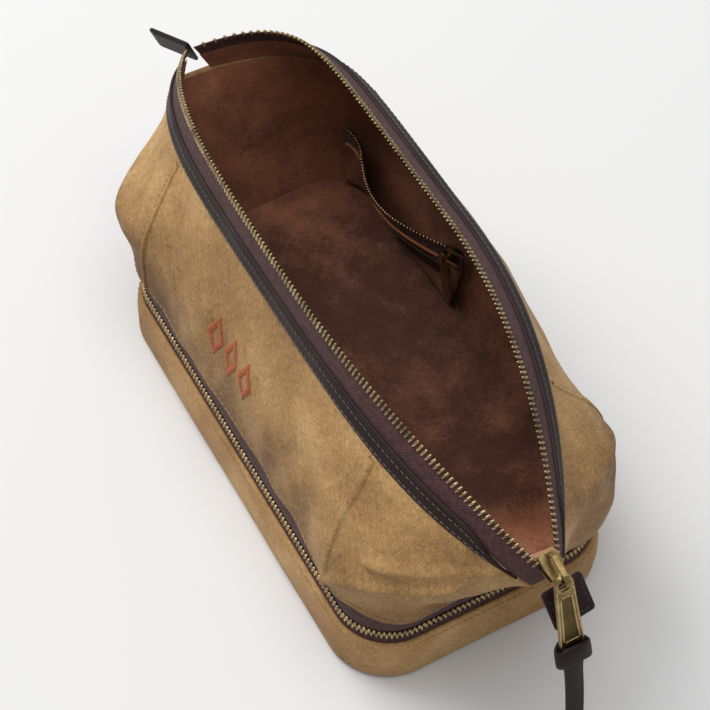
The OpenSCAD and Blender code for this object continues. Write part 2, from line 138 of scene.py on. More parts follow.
def hem_at(side, x):
    mid, half = (TRIM_NEAR + TRIM_FAR) / 2, (TRIM_NEAR - TRIM_FAR) / 2
    if side < 0:
        g = swell(x, mid, half, 5, 4)
        y = -END_GAP - (FRONT_SPREAD - FRONT_HEM_LESS) * g
        return np.array([x, y, TRIM_Z + (FRONT_RISE - FRONT_HEM_DROP) * g])
    g = swell(x, mid, half, 8, 2)
    return np.array([x, END_GAP + (BACK_SPREAD + BACK_HEM_MORE) * g, TRIM_Z + (BACK_RISE - BACK_HEM_DROP) * g])


def flap(side, u, w, off):
    """Point of a rim: u along it, w from the hem (0) to the teeth (1), off = lift outwards."""
    h, c = hem_at(side, mix(TRIM_FAR, TRIM_NEAR, u)), teeth_line(side, u)
    h2 = hem_at(side, mix(TRIM_FAR, TRIM_NEAR, min(1, u + 0.01)))
    h0 = hem_at(side, mix(TRIM_FAR, TRIM_NEAR, max(0, u - 0.01)))
    n = unit(np.cross(h2 - h0, c - h)) * (1 if side < 0 else -1)
    return mix(h, c, w) + n * off


# How far the canvas swells outwards at half height: (distance along the outline, mm)
BULGE = [(0, 4), (60, 6), (112, 12), (HALF_PATH / 2, -2), (HALF_PATH - 112, 11), (HALF_PATH, 13)]
RIM_SEAM_NEAR, RIM_SEAM_FAR = 80.0, -108.0


def rim_pt(s):
    """Point of the hem above a place on the base outline."""
    s = wrap(s)
    t, sg = abs(s), -1 if s < 0 else 1
    k = (t - SEAM_S) / (HALF_PATH - 2 * SEAM_S)
    end, seam = (TRIM_NEAR, RIM_SEAM_NEAR) if sg > 0 else (TRIM_FAR, RIM_SEAM_FAR)
    c, hw = (RIM_SEAM_NEAR + RIM_SEAM_FAR) / 2, (RIM_SEAM_NEAR - RIM_SEAM_FAR) / 2
    if t <= SEAM_S:
        return hem_at(-1, c + s / SEAM_S * hw)
    if k < 0.46:
        return hem_at(-1, mix(seam, end, math.sin(math.pi / 2 * k / 0.46)))
    if k <= 0.54:
        return mix(hem_at(-1, end), hem_at(1, end), (k - 0.46) / 0.08)
    if k < 1:
        return hem_at(1, mix(seam, end, math.sin(math.pi / 2 * (1 - k) / 0.46)))
    return hem_at(1, c + sg * (HALF_PATH - t) / SEAM_S * hw)


def shell_pt(s, v, d):
    """Point of the upper bag's wall: s along the outline, v from the zip (0) to the hem (1), d inset."""
    b, o, r = path_pt(s, 1.4), path_out(s), rim_pt(s)
    p = mix(np.array([b[0], b[1], SHELL_Z]), r, v)
    a = keyed(BULGE, abs(wrap(s))) * math.sin(math.pi * min(1.0, max(0.0, v)) ** 0.9) - d
    return p + np.array([o[0] * a, o[1] * a, 0])


# ---------------------------------------------------------------- mesh helpers
def obj_from(name, verts, faces, mat, uvs=None, smooth=True):
    mesh = bpy.data.meshes.new(name)
    mesh.from_pydata([tuple(v) for v in np.asarray(verts) * MM], [], faces)
    if uvs is not None:
        layer = mesh.uv_layers.new(name="flat")
        flat = np.asarray(uvs)
        idx = np.empty(len(mesh.loops), int)
        mesh.loops.foreach_get("vertex_index", idx)
        layer.data.foreach_set("uv", (flat[idx] * MM).astype(np.float32).ravel())
    mesh.polygons.foreach_set("use_smooth", [smooth] * len(mesh.polygons))
    mesh.update()
    obj = bpy.data.objects.new(name, mesh)
    bpy.context.scene.collection.objects.link(obj)
    if mat:
        mesh.materials.append(mat)
    return obj


def grid(name, pts, mat, uv=None, wrap_u=False, wrap_v=False, flip=False):
    """Sheet from an array of points (nu, nv, 3)."""
    nu, nv = pts.shape[:2]
    faces = []
    for i in range(nu if wrap_u else nu - 1):
        for j in range(nv if wrap_v else nv - 1):
            a, b = i * nv + j, ((i + 1) % nu) * nv + j
            c, d = ((i + 1) % nu) * nv + (j + 1) % nv, i * nv + (j + 1) % nv
            faces.append((a, d, c, b) if flip else (a, b, c, d))
    uvs = None if uv is None else uv.reshape(-1, 2)
    return obj_from(name, pts.reshape(-1, 3), faces, mat, uvs)


def thicken(obj, t, offset=-1.0):
    m = obj.modifiers.new("thick", "SOLIDIFY")
    m.thickness, m.offset, m.use_even_offset = t * MM, offset, False
    return obj


def arc_uv(pts):
    """Flat coordinates in mm from distances along the two grid directions."""
    nu, nv = pts.shape[:2]
    uv = np.zeros((nu, nv, 2))
    du = np.linalg.norm(np.diff(pts[:, nv // 2], axis=0), axis=1)
    uv[1:, :, 0] = np.cumsum(du)[:, None]
    uv[:, 1:, 1] = np.cumsum(np.linalg.norm(np.diff(pts, axis=1), axis=2), axis=1)
    return uv


def capsules(name, segs, radius, mat, sides=6):
    """One mesh of short round threads; segs is a list of (start, end, out)."""
    verts, faces = [], []
    rings = [(0.0, 0.45, -0.9), (0.12, 0.85, -0.2), (0.5, 1.0, 0.35), (0.88, 0.85, -0.2), (1.0, 0.45, -0.9)]
    for a, b, out in segs:
        a, b, out = np.asarray(a, float), np.asarray(b, float), unit(np.asarray(out, float))
        d = unit(b - a)
        side = unit(np.cross(d, out))
        out = np.cross(side, d)
        base = len(verts)
        length = np.linalg.norm(b - a)
        for t, k, lift in rings:
            c = a + d * length * t + out * radius * lift * 0.6
            for q in range(sides):
                g = 2 * math.pi * q / sides
                verts.append(c + side * radius * k * math.cos(g) + out * radius * k * math.sin(g))
        n = len(rings)
        for i in range(n - 1):
            for q in range(sides):
                p, r = base + i * sides + q, base + i * sides + (q + 1) % sides
                faces.append((p, r, r + sides, p + sides))
        faces.append(tuple(base + q for q in reversed(range(sides))))
        faces.append(tuple(base + (n - 1) * sides + q for q in range(sides)))
    return obj_from(name, verts, faces, mat)


def stitch_line(pts, length, gap, out_of):
    """Stitches of a length along a line of points; out_of(i) is the outward way at point i."""
    pts = np.asarray(pts)
    d = np.concatenate([[0], np.cumsum(np.linalg.norm(np.diff(pts, axis=0), axis=1))])
    segs, at = [], gap
    while at + length < d[-1]:
        ends = [np.array([np.interp(x, d, pts[:, k]) for k in range(3)]) for x in (at, at + length)]
        i = min(len(pts) - 1, int(np.searchsorted(d, at + length / 2)))
        segs.append((ends[0], ends[1], out_of(i)))
        at += length + gap
    return segs


# ---------------------------------------------------------------- materials
def new_mat(name):
    m = bpy.data.materials.new(name)
    m.use_nodes = True
    nt = m.node_tree
    return m, nt, nt.nodes["Principled BSDF"]


def node(nt, kind, **props):
    n = nt.nodes.new(kind)
    for k, v in props.items():
        if k in n.inputs:
            n.inputs[k].default_value = v
        else:
            setattr(n, k, v)
    return n


def ramp(nt, src, stops):
    r = nt.nodes.new("ShaderNodeValToRGB")
    while len(r.color_ramp.elements) < len(stops):
        r.color_ramp.elements.new(0.5)
    for e, (p, c) in zip(r.color_ramp.elements, stops):
        e.position = p
        e.color = (*c, 1) if len(c) == 3 else c
    nt.links.new(src, r.inputs[0])
    return r.outputs[0]


def math_node(nt, op, a, b=None):
    n = nt.nodes.new("ShaderNodeMath")
    n.operation = op
    for k, v in enumerate((a, b)):
        if v is None:
            continue
        if hasattr(v, "links"):
            nt.links.new(v, n.inputs[k])
        else:
            n.inputs[k].default_value = v
    return n.outputs[0]


def noise_tex(nt, coord, scale, detail=3, rough=0.55, dist=0.0):
    n = node(nt, "ShaderNodeTexNoise", Scale=scale, Detail=detail, Roughness=rough, Distortion=dist)
    nt.links.new(coord, n.inputs["Vector"])
    return n.outputs["Fac"]


def blend_col(nt, fac, a, b, mode="MIX"):
    n = nt.nodes.new("ShaderNodeMix")
    n.data_type, n.blend_type = "RGBA", mode
    for k, v in ((0, fac), (6, a), (7, b)):
        if hasattr(v, "links"):
            nt.links.new(v, n.inputs[k])
        else:
            n.inputs[k].default_value = (*v, 1) if isinstance(v, tuple) and len(v) == 3 else v
    return n.outputs[2]


def bump(nt, bsdf, height, strength, dist=0.0005, prev=None):
    n = node(nt, "ShaderNodeBump", Strength=strength, Distance=dist)
    nt.links.new(height, n.inputs["Height"])
    if prev:
        nt.links.new(prev, n.inputs["Normal"])
    nt.links.new(n.outputs[0], bsdf.inputs["Normal"])
    return n.outputs[0]


def scaled(nt, vec, sx, sy, sz=1.0):
    n = nt.nodes.new("ShaderNodeVectorMath")
    n.operation = "MULTIPLY"
    nt.links.new(vec, n.inputs[0])
    n.inputs[1].default_value = (sx, sy, sz)
    return n.outputs[0]


def even(value):
    """A grey whose three channels are the same, for ramps that drive a number."""
    return (value,) * 3


def woven(name, dark, mid, light, pitch_mm, rough, sheen, weave_bump=0.4, blotch=11.0, grain=0.5,
          foot=0.0, painted_end_light=0.0):
    """Cloth in flat coordinates: waxed blotches, slubs along both threads and a plain weave.

    foot is painted shade: how much darker the cloth is made towards the bottom of the upper bag.
    painted_end_light, which needs foot, is painted light: how much paler the cloth is made towards the main
    slider."""
    m, nt, bsdf = new_mat(name)
    tc = nt.nodes.new("ShaderNodeTexCoord")
    obj, uv = tc.outputs["Object"], tc.outputs["UV"]
    big = noise_tex(nt, obj, blotch, 5, 0.62, 0.6)
    rub = noise_tex(nt, obj, 46, 5, 0.7, 0.3)
    warp = noise_tex(nt, scaled(nt, uv, 300, 2300), 1.0, 2, 0.6)
    weft = noise_tex(nt, scaled(nt, uv, 2300, 300), 1.0, 2, 0.6)
    slub = math_node(nt, "ADD", warp, weft)
    tone = math_node(nt, "ADD", math_node(nt, "MULTIPLY", big, 0.75), math_node(nt, "MULTIPLY", rub, 0.35))
    tone = math_node(nt, "ADD", tone, math_node(nt, "MULTIPLY", math_node(nt, "SUBTRACT", slub, 1.0), grain))
    # Painted shade: the cloth is darkened towards the bottom of the upper bag.
    if foot:
        place = nt.nodes.new("ShaderNodeSeparateXYZ")
        nt.links.new(obj, place.inputs[0])
        height = math_node(nt, "MULTIPLY", place.outputs[2], 10.0)
        low = ramp(nt, height, [(0.36, even(1)), (0.9, even(0))])
        tone = math_node(nt, "SUBTRACT", tone, math_node(nt, "MULTIPLY", low, foot))
    # Painted light: the cloth is made paler towards the main slider end.
    if painted_end_light:
        reach = math_node(nt, "MULTIPLY", place.outputs[0], 5.0)
        near = ramp(nt, reach, [(0.36, even(0)), (0.68, even(1))])
        tone = math_node(nt, "ADD", tone, math_node(nt, "MULTIPLY", near, painted_end_light))
    nt.links.new(ramp(nt, tone, [(0.26, dark), (0.54, mid), (0.82, light)]), bsdf.inputs["Base Color"])
    sep = nt.nodes.new("ShaderNodeSeparateXYZ")
    nt.links.new(uv, sep.inputs[0])
    k = 2 * math.pi / (pitch_mm * MM)
    sx = math_node(nt, "SINE", math_node(nt, "MULTIPLY", sep.outputs[0], k))
    sy = math_node(nt, "SINE", math_node(nt, "MULTIPLY", sep.outputs[1], k))
    weave = math_node(nt, "MULTIPLY", sx, sy)
    h = math_node(nt, "ADD", math_node(nt, "MULTIPLY", weave, 0.45), slub)
    n1 = bump(nt, bsdf, h, weave_bump, 0.00035)
    bump(nt, bsdf, rub, 0.3, 0.0012, n1)
    dull = ramp(nt, rub, [(0.3, even(rough + 0.1)), (0.75, even(rough - 0.12))])
    nt.links.new(dull, bsdf.inputs["Roughness"])
    bsdf.inputs["Sheen Weight"].default_value = sheen
    bsdf.inputs["Sheen Roughness"].default_value = 0.5
    bsdf.inputs["Specular IOR Level"].default_value = 0.36
    return m


def leather(name, base, light, rough):
    m, nt, bsdf = new_mat(name)
    obj = nt.nodes.new("ShaderNodeTexCoord").outputs["Object"]
    big = noise_tex(nt, obj, 30, 4, 0.6)
    nt.links.new(ramp(nt, big, [(0.3, base), (0.75, light)]), bsdf.inputs["Base Color"])
    v = node(nt, "ShaderNodeTexVoronoi", Scale=1400.0)
    nt.links.new(obj, v.inputs["Vector"])
    n1 = bump(nt, bsdf, v.outputs["Distance"], 0.25, 0.0002)
    bump(nt, bsdf, noise_tex(nt, obj, 140, 3), 0.12, 0.0006, n1)
    dull = ramp(nt, big, [(0.2, even(rough + 0.12)), (0.8, even(rough - 0.06))])
    nt.links.new(dull, bsdf.inputs["Roughness"])
    bsdf.inputs["Specular IOR Level"].default_value = 0.2
    return m


def tape_mat(name, dark, light, rows_mm=1.7, step_mm=0.9):
    """Herringbone tape in flat coordinates: x along the tape, y across it."""
    m, nt, bsdf = new_mat(name)
    tc = nt.nodes.new("ShaderNodeTexCoord")
    sep = nt.nodes.new("ShaderNodeSeparateXYZ")
    nt.links.new(tc.outputs["UV"], sep.inputs[0])
    y = math_node(nt, "MULTIPLY", sep.outputs[1], 1 / (2 * rows_mm * MM))
    tri = math_node(nt, "PINGPONG", y, 0.5)
    x = math_node(nt, "MULTIPLY", sep.outputs[0], 1 / (step_mm * MM))
    slant = math_node(nt, "ADD", x, math_node(nt, "MULTIPLY", tri, 3.4))
    line = math_node(nt, "SINE", math_node(nt, "MULTIPLY", slant, 2 * math.pi))
    obj = tc.outputs["Object"]
    fine = noise_tex(nt, obj, 420, 2)
    f = math_node(nt, "ADD", math_node(nt, "MULTIPLY", line, 0.42), fine)
    nt.links.new(ramp(nt, f, [(0.2, dark), (1.05, light)]), bsdf.inputs["Base Color"])
    bump(nt, bsdf, math_node(nt, "ADD", math_node(nt, "MULTIPLY", line, 0.5), fine), 0.6, 0.0004)
    bsdf.inputs["Roughness"].default_value = 0.8
    bsdf.inputs["Sheen Weight"].default_value = 0.06
    bsdf.inputs["Specular IOR Level"].default_value = 0.2
    return m


def brass(name, dark, light, rough):
    m, nt, bsdf = new_mat(name)
    obj = nt.nodes.new("ShaderNodeTexCoord").outputs["Object"]
    big = noise_tex(nt, obj, 120, 4, 0.6)
    nt.links.new(ramp(nt, big, [(0.25, dark), (0.7, light)]), bsdf.inputs["Base Color"])
    wear = ramp(nt, noise_tex(nt, obj, 500, 3), [(0.3, even(rough - 0.1)), (0.7, even(rough + 0.14))])
    nt.links.new(wear, bsdf.inputs["Roughness"])
    bump(nt, bsdf, noise_tex(nt, obj, 900, 2), 0.08, 0.0002)
    bsdf.inputs["Metallic"].default_value = 1.0
    return m


def thread(name, col, rough=0.7):
    m, nt, bsdf = new_mat(name)
    obj = nt.nodes.new("ShaderNodeTexCoord").outputs["Object"]
    f = noise_tex(nt, obj, 700, 3)
    nt.links.new(ramp(nt, f, [(0.3, tuple(0.6 * c for c in col)), (0.7, col)]), bsdf.inputs["Base Color"])
    bump(nt, bsdf, f, 0.4, 0.0002)
    bsdf.inputs["Roughness"].default_value = rough
    bsdf.inputs["Sheen Weight"].default_value = 0.05
    return m


WAXED = dict(pitch_mm=0.75, rough=0.64, sheen=0.02)
SOFT = dict(pitch_mm=0.5, rough=0.82, sheen=0.03, weave_bump=0.3, blotch=7.0, grain=0.25)
# The canvas is darkened towards the bottom of the upper bag by painted shade.
CANVAS = woven("canvas", (0.125, 0.055, 0.0135), (0.385, 0.22, 0.08), (0.7, 0.465, 0.205), foot=0.26, **WAXED)
BAND_CANVAS = woven("canvas_band", (0.15, 0.066, 0.017), (0.37, 0.198, 0.068), (0.6, 0.385, 0.17), **WAXED)
# The lining's colours are partly its own and partly painted shade: they are set dark for the shade inside the
# bag and darkened further towards the bottom, and painted light makes them paler towards the main slider.
LINING = woven("lining_cloth", (0.045, 0.0125, 0.005), (0.25, 0.09, 0.042), (0.6, 0.33, 0.21),
               foot=0.27, painted_end_light=0.5, **SOFT)
TRAY_LINING = woven("lining_tray", (0.15, 0.05, 0.024), (0.26, 0.1, 0.052), (0.38, 0.175, 0.105), **SOFT)
TAPE = tape_mat("tape_weave", (0.024, 0.0095, 0.01), (0.15, 0.068, 0.066))
LEATHER = leather("leather_dark", (0.012, 0.006, 0.0055), (0.028, 0.015, 0.0135), 0.5)
PIPING = leather("piping_russet", (0.2, 0.06, 0.02), (0.36, 0.13, 0.05), 0.5)
BRASS = brass("brass_aged", (0.15, 0.098, 0.036), (0.36, 0.26, 0.11), 0.34)
BRASS_DARK = brass("brass_recess", (0.06, 0.038, 0.013), (0.15, 0.105, 0.042), 0.42)
BRASS_RUBBED = brass("brass_rubbed", (0.3, 0.21, 0.09), (0.55, 0.42, 0.21), 0.28)
TEETH = brass("brass_teeth", (0.14, 0.095, 0.042), (0.56, 0.43, 0.24), 0.28)
DARK_THREAD = thread("thread_dark", (0.045, 0.034, 0.032))
GREY_THREAD = thread("thread_grey", (0.13, 0.105, 0.1))
TAN_THREAD = thread("thread_tan", (0.42, 0.27, 0.12))
RUST_THREAD = thread("thread_rust", (0.42, 0.098, 0.022), 0.6)


# ---------------------------------------------------------------- pieces
def done(obj, body, slot, *nodes):
    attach(obj, body)
    if nodes:
        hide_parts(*nodes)
    return obj


def bend_with_rim(obj, side, slot, *nodes):
    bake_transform(obj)
    if nodes:
        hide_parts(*nodes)
    return obj


def ring_pt(s, off, z):
    p, o = path_pt(s, 0), path_out(s)
    return np.array([p[0] + o[0] * off, p[1] + o[1] * off, z])


def ring_sheet(name, s0, s1, profile, mat, nu, closed=False, flip=False, wobble=0.0):
    pts = np.zeros((nu, len(profile), 3))
    for i in range(nu):
        s = s0 + (s1 - s0) * i / (nu if closed else nu - 1)
        for j, (off, z) in enumerate(profile):
            p = ring_pt(s, off, z)
            if wobble:
                n = noise.noise(Vector((p[0] * 0.02, p[1] * 0.02, z * 0.03))) * wobble
                n += noise.noise(Vector((p[0] * 0.09 + 7, p[1] * 0.09, z * 0.1))) * wobble * 0.3
                k = math.sin(math.pi * min(1, max(0, z / (ZIP_Z - 4.6))))
                o = path_out(s)
                p = p + np.array([o[0], o[1], 0]) * n * k
            pts[i, j] = p
    return grid(name, pts, mat, arc_uv(pts), wrap_u=closed, flip=flip)


REACH = HALF_PATH - STRAIGHT_X - 1  # how far the lower zip runs each way from the middle of the front

# lower band: its profile is (outwards, z)
band_profile = [(-12, 0.15), (-5, 0.05), (-1.2, 0.05), (0.4, 0.25), (1.6, 1.0), (2.3, 2.2), (2.55, 4),
                (2.7, 8), (2.75, 13), (2.6, 17), (2.2, 20.5), (1.5, 23.8), (0.8, 26.2), (0.2, 27.3),
                (-0.6, 27.6), (-1.4, 27.2), (-1.9, 26.2)]
band = ring_sheet("band_canvas", -HALF_PATH, HALF_PATH, band_profile, BAND_CANVAS, 420,
                  closed=True, wobble=1.0)
done(band, "tray", "waxed_canvas", "tray_wall")


def disc_pts(inset, z, nu, nv):
    """Points that fill the rounded base outline, from its edge (first) to its middle (last)."""
    pts = np.zeros((nu, nv, 3))
    for i in range(nu):
        edge = ring_pt(-HALF_PATH + 2 * HALF_PATH * i / nu, -inset, z)
        for j in range(nv):
            k = 1 - j / (nv - 1)
            pts[i, j] = (edge[0] * k, edge[1] * k, z)
    return pts


base_pts = disc_pts(11.5, 0.2, 160, 6)
base = grid("base_canvas", base_pts, BAND_CANVAS, base_pts[:, :, :2].copy(), wrap_u=True)
done(base, "tray", "waxed_canvas", "base_panel")
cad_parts["base_board"].data.materials.clear()
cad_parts["base_board"].data.materials.append(TRAY_LINING)
lining_profile = [(-2.3, 2.4), (-0.7, 5.4), (-0.6, 18), (-2.2, 24), (-3.6, 28.2)]
inner = ring_sheet("tray_lining_sheet", -HALF_PATH, HALF_PATH, lining_profile, TRAY_LINING, 200,
                   closed=True, flip=True)
done(inner, "tray", "lining", "tray_lining")

# canvas strip that hinges the lower compartment: its profile is (outwards, z)
hinge_profile = [(0.1, 26.4), (-0.3, 28.4), (-0.9, 30.4), (-1.2, 32.4), (-1.3, 33.6), (-1.2, 35.4),
                 (-0.9, 37.4), (-0.3, 39.6), (0.2, 41.4)]
hinge_xs = [mix(-STRAIGHT_X - 2, STRAIGHT_X + 2, i / 60) for i in range(61)]
hinge_pts = np.array([[[x, HALF_W + dy, z] for dy, z in hinge_profile] for x in hinge_xs])
hinge = thicken(grid("hinge_strip", hinge_pts, CANVAS, arc_uv(hinge_pts), flip=True), 0.9)
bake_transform(hinge)
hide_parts("hinge_tape")

tape_low = [(-0.9, 26.4), (-1.3, 27.9), (-1.8, 29.3), (-2.3, 30.8), (-2.7, 32.2)]
tape_a = thicken(ring_sheet("lower_tape_a", -REACH, REACH, tape_low, TAPE, 300), 0.6)
done(tape_a, "tray", "zip_tape", "lower_tape_lower")


def tooth(p, along, up, n, length=3.6):
    """One coined tooth: clamped on the tape's cord and ending in a rounded head."""
    rings = [(-length, 0.62, 0.8), (-length + 0.25, 0.72, 1.15), (-1.5, 0.72, 1.2), (-1.1, 0.62, 0.95),
             (-0.5, 0.58, 0.85), (-0.15, 0.5, 0.75), (0.0, 0.3, 0.45)]
    turns = [math.pi / 8 + math.pi / 4 * q for q in range(8)]
    verts = [p + up * y + along * w * math.cos(g) * (1.15 if abs(math.cos(g)) > 0.5 else 1)
             + n * h * math.sin(g) for y, w, h in rings for g in turns]
    faces = [(i * 8 + q, i * 8 + (q + 1) % 8, (i + 1) * 8 + (q + 1) % 8, (i + 1) * 8 + q)
             for i in range(len(rings) - 1) for q in range(8)]
    faces += [tuple(reversed(range(8))), tuple(range((len(rings) - 1) * 8, len(rings) * 8))]
    return verts, faces


def teeth_mesh(name, places, mat):
    verts, faces = [], []
    for args in places:
        v, f = tooth(*args)
        base = len(verts)
        verts += v
        faces += [tuple(base + k for k in face) for face in f]
    return obj_from(name, verts, faces, mat)


def level(d):
    """A direction of the plan as a direction in space."""
    return np.array([d[0], d[1], 0.0])


def lower_places(up):
    """Where the lower zip's teeth stand: up is -1 for its lower half and 1 for its upper half."""
    out = []
    count = int(REACH / PITCH)
    for i in range(-count, count):
        s = (i + (0.75 if up > 0 else 0.25)) * PITCH
        p = ring_pt(s, -2.2, ZIP_Z + up * -0.9)
        out.append((p, level(path_dir(s)), np.array([0, 0, -up * 1.0]), level(path_out(s)), 3.6))
    return out


done(teeth_mesh("lower_teeth_a", lower_places(-1), TEETH), "tray", "zip_teeth", "lower_teeth_lower")
done(teeth_mesh("lower_teeth_b", lower_places(1), TEETH), "upper_bag", "zip_teeth", "lower_teeth_upper")


# upper canvas
V_MM = 72.0  # nominal height of the cloth from the zip to the hem, for measuring creases
# Creases pressed into the cloth: height in mm, half width in mm, and the line in (s, v).
CREASES = [
    (3.0, 2.3, [(151, 0.97), (129, 0.80), (109, 0.58)]),
    (3.0, 2.6, [(92, 0.12), (109, 0.40), (121, 0.56), (133, 0.70)]),
    (-6.5, 14.0, [(112, 0.16), (135, 0.30), (165, 0.42)]),
    (-7.0, 17.0, [(148, 0.20), (182, 0.26), (214, 0.22)]),
    (-1.8, 7.0, [(101, 0.50), (104, 0.56)]),
    (-1.6, 9.0, [(107, 0.92), (104, 0.80)]),
    (3.5, 15.0, [(-112, 0.50), (-113, 0.44)]),
    (-2.6, 10.0, [(-104, 0.30), (-122, 0.22)]),
    (6.0, 18.0, [(262, 0.60), (264, 0.50)]),
    (2.4, 5.0, [(262, 0.55), (244, 0.78), (222, 0.94)]),
    (-2.6, 7.0, [(250, 0.46), (226, 0.66)]),
    (2.0, 5.0, [(-114, 0.50), (-132, 0.72), (-150, 0.93)]),
    (-2.0, 6.0, [(-108, 0.64), (-126, 0.86)]),
    (1.6, 6.0, [(-62, 0.06), (-40, 0.34), (-34, 0.60)]),
    (-1.5, 8.0, [(-48, 0.05), (-22, 0.30)]),
    (1.5, 7.0, [(38, 0.06), (52, 0.34), (76, 0.62)]),
    (-1.4, 8.0, [(58, 0.10), (68, 0.36)]),
    (2.0, 6.0, [(300, 0.30), (272, 0.44), (252, 0.30)]),
    (1.8, 7.0, [(-258, 0.60), (-270, 0.40), (-300, 0.25)])]


def line_gap(s, v, line):
    """Distance in mm from (s, v) to a line of (s, v) points."""
    p, best = np.array([s, v * V_MM]), 1e9
    for (sa, va), (sb, vb) in zip(line, line[1:]):
        a, d = np.array([sa, va * V_MM]), np.array([sb - sa, (vb - va) * V_MM])
        t = min(1.0, max(0.0, float((p - a) @ d) / float(d @ d)))
        best = min(best, float(np.linalg.norm(p - a - d * t)))
    return best


def folds(s, v):
    """Soft folds of the cloth, in mm outwards."""
    p = shell_pt(s, v, 0)
    k = math.sin(math.pi * min(1.0, max(0.0, v))) ** 0.6
    n = noise.noise(Vector((p[0] * 0.016 + 3, p[1] * 0.016, p[2] * 0.02))) * 3.0
    n += noise.noise(Vector((p[0] * 0.04, p[1] * 0.04 + 5, p[2] * 0.03))) * 1.6
    n += (0.5 - abs(noise.noise(Vector((p[0] * 0.03 + 2, p[1] * 0.03, p[2] * 0.045))))) * 1.5
    n += noise.noise(Vector((p[0] * 0.12, p[1] * 0.12 + 9, p[2] * 0.1))) * 0.35
    w = wrap(s)
    for height, half, line in CREASES:
        gap = line_gap(w, v, line)
        if gap < 3 * half:
            n += height * math.exp(-(gap / half) ** 2)
    return n * k


def cloth_pt(s, v, d):
    p, o = shell_pt(s, v, d), path_out(s)
    f = folds(s, v)
    return p + np.array([o[0] * f, o[1] * f, 0])


def foot_v(s):
    """Where the canvas starts above the lower zip; it comes down to the hinge strip at the back."""
    return mix(0.11, 0.035, ease(min(1.0, max(0.0, (abs(wrap(s)) - REACH + 7) / 7))))


def patch(name, s0, s1, v0, v1, nu, nv, mat, d=0.0, flip=False):
    pts = np.zeros((nu, nv, 3))
    for i in range(nu):
        s = mix(s0, s1, i / (nu - 1))
        low = foot_v(s) if v0 is None else v0
        for j in range(nv):
            pts[i, j] = cloth_pt(s, mix(low, v1, j / (nv - 1)), d)
    return grid(name, pts, mat, arc_uv(pts), flip=flip)


tape_pts = np.zeros((300, 9, 3))
for i in range(300):
    s = mix(-REACH, REACH, i / 299)
    tape_pts[i, 0], tape_pts[i, 1] = ring_pt(s, -2.9, ZIP_Z + 0.8), ring_pt(s, -2.4, ZIP_Z + 3)
    for j in range(7):
        tape_pts[i, j + 2] = cloth_pt(s, 0.15 * j / 6, 0.5)
tape_b = thicken(grid("lower_tape_b", tape_pts, TAPE, arc_uv(tape_pts)), 0.5)
done(tape_b, "upper_bag", "zip_tape", "lower_tape_upper")


HALF = HALF_PATH / 2
canvas_parts = [
    ("canvas_front", -SEAM_S, SEAM_S, 170, -1, "front_panel"),
    ("canvas_near_front", SEAM_S, HALF, 110, -1, "near_gusset"),
    ("canvas_near_back", HALF, HALF_PATH - SEAM_S, 110, 1, "near_gusset"),
    ("canvas_back", HALF_PATH - SEAM_S, HALF_PATH + SEAM_S, 150, 1, "back_panel"),
    ("canvas_far_back", HALF_PATH + SEAM_S, HALF_PATH + HALF, 110, 1, "far_gusset"),
    ("canvas_far_front", -HALF, -SEAM_S, 110, -1, "far_gusset")]
for name, s0, s1, nu, side, node_name in canvas_parts:
    obj = thicken(patch(name, s0, s1, None, 1.0, nu, 64, CANVAS), 1.3)
    bend_with_rim(obj, side, "waxed_canvas", node_name)
for name, s0, s1, side in (("lining_front", -HALF, HALF, -1), ("lining_back", HALF, HALF_PATH + HALF, 1)):
    obj = patch(name, s0, s1, 0.02, 1.0, 180, 26, LINING, d=CANVAS_T + 1.2, flip=True)
    bend_with_rim(obj, side, "lining", "main_lining")

floor_pts = disc_pts(2.6, FLOOR_Z + 1.6, 240, 40)
for row in floor_pts:
    for p in row:
        p[2] += 1.2 + 1.6 * noise.noise(Vector((p[0] * 0.02, p[1] * 0.025, 1.5)))
floor_cloth = grid("floor_cloth", floor_pts, LINING, floor_pts[:, :, :2].copy(), wrap_u=True)
done(floor_cloth, "upper_bag", "lining", "divider_floor")


# seams
def seam(name, s, side, node_name):
    """Lapped seam up the wall at s, with one row of stitches."""
    pts = np.array([cloth_pt(s, mix(foot_v(s), 0.98, j / 60), 0) for j in range(61)])
    o3, along = level(path_out(s)), level(path_dir(s))
    sec = [(-3.2, -0.4), (-2.6, 0.25), (-1.4, 0.6), (0, 0.95), (0.9, 0.7), (1.2, -0.4)]
    sheet = np.array([[p + along * a * (-1 if s > 0 else 1) + o3 * b for a, b in sec] for p in pts])
    obj = grid(name, sheet, CANVAS, arc_uv(sheet), flip=s > 0)
    bend_with_rim(obj, side, "waxed_canvas", node_name)
    line = np.array([p + along * -1.9 * (-1 if s > 0 else 1) + o3 * 0.55 for p in pts])
    st = capsules(name + "_stitches", stitch_line(line, 2.2, 0.8, lambda i: o3), 0.28, TAN_THREAD)
    bend_with_rim(st, side, "waxed_canvas")


seam("seam_front_near", SEAM_S, -1, "front_seam_near")
seam("seam_front_far", -SEAM_S, -1, "front_seam_far")
seam("seam_back_near", HALF_PATH - SEAM_S, 1, "back_seam_near")
seam("seam_back_far", SEAM_S - HALF_PATH, 1, "back_seam_far")

# stitch lines along the lower band and the foot of the upper canvas
zip_path = [mix(-REACH, REACH, i / 420) for i in range(421)]
zip_outs = [level(path_out(s)) for s in zip_path]
for name, body, line in (("band_stitches", "tray", [ring_pt(s, 1.25, 25.0) for s in zip_path]),
                         ("foot_stitches", "upper_bag", [cloth_pt(s, 0.14, -0.15) for s in zip_path])):
    segs = stitch_line(line, 2.4, 0.9, lambda i: zip_outs[i])
    done(capsules(name, segs, 0.25, TAN_THREAD), body, "waxed_canvas")


# rims
def taper(u):
    """How wide the leather trim still is near the slider: 1 along the rim, then falling to a point."""
    return 1 - 0.85 * ease(min(1.0, max(0.0, (u - 0.9) / 0.08)))


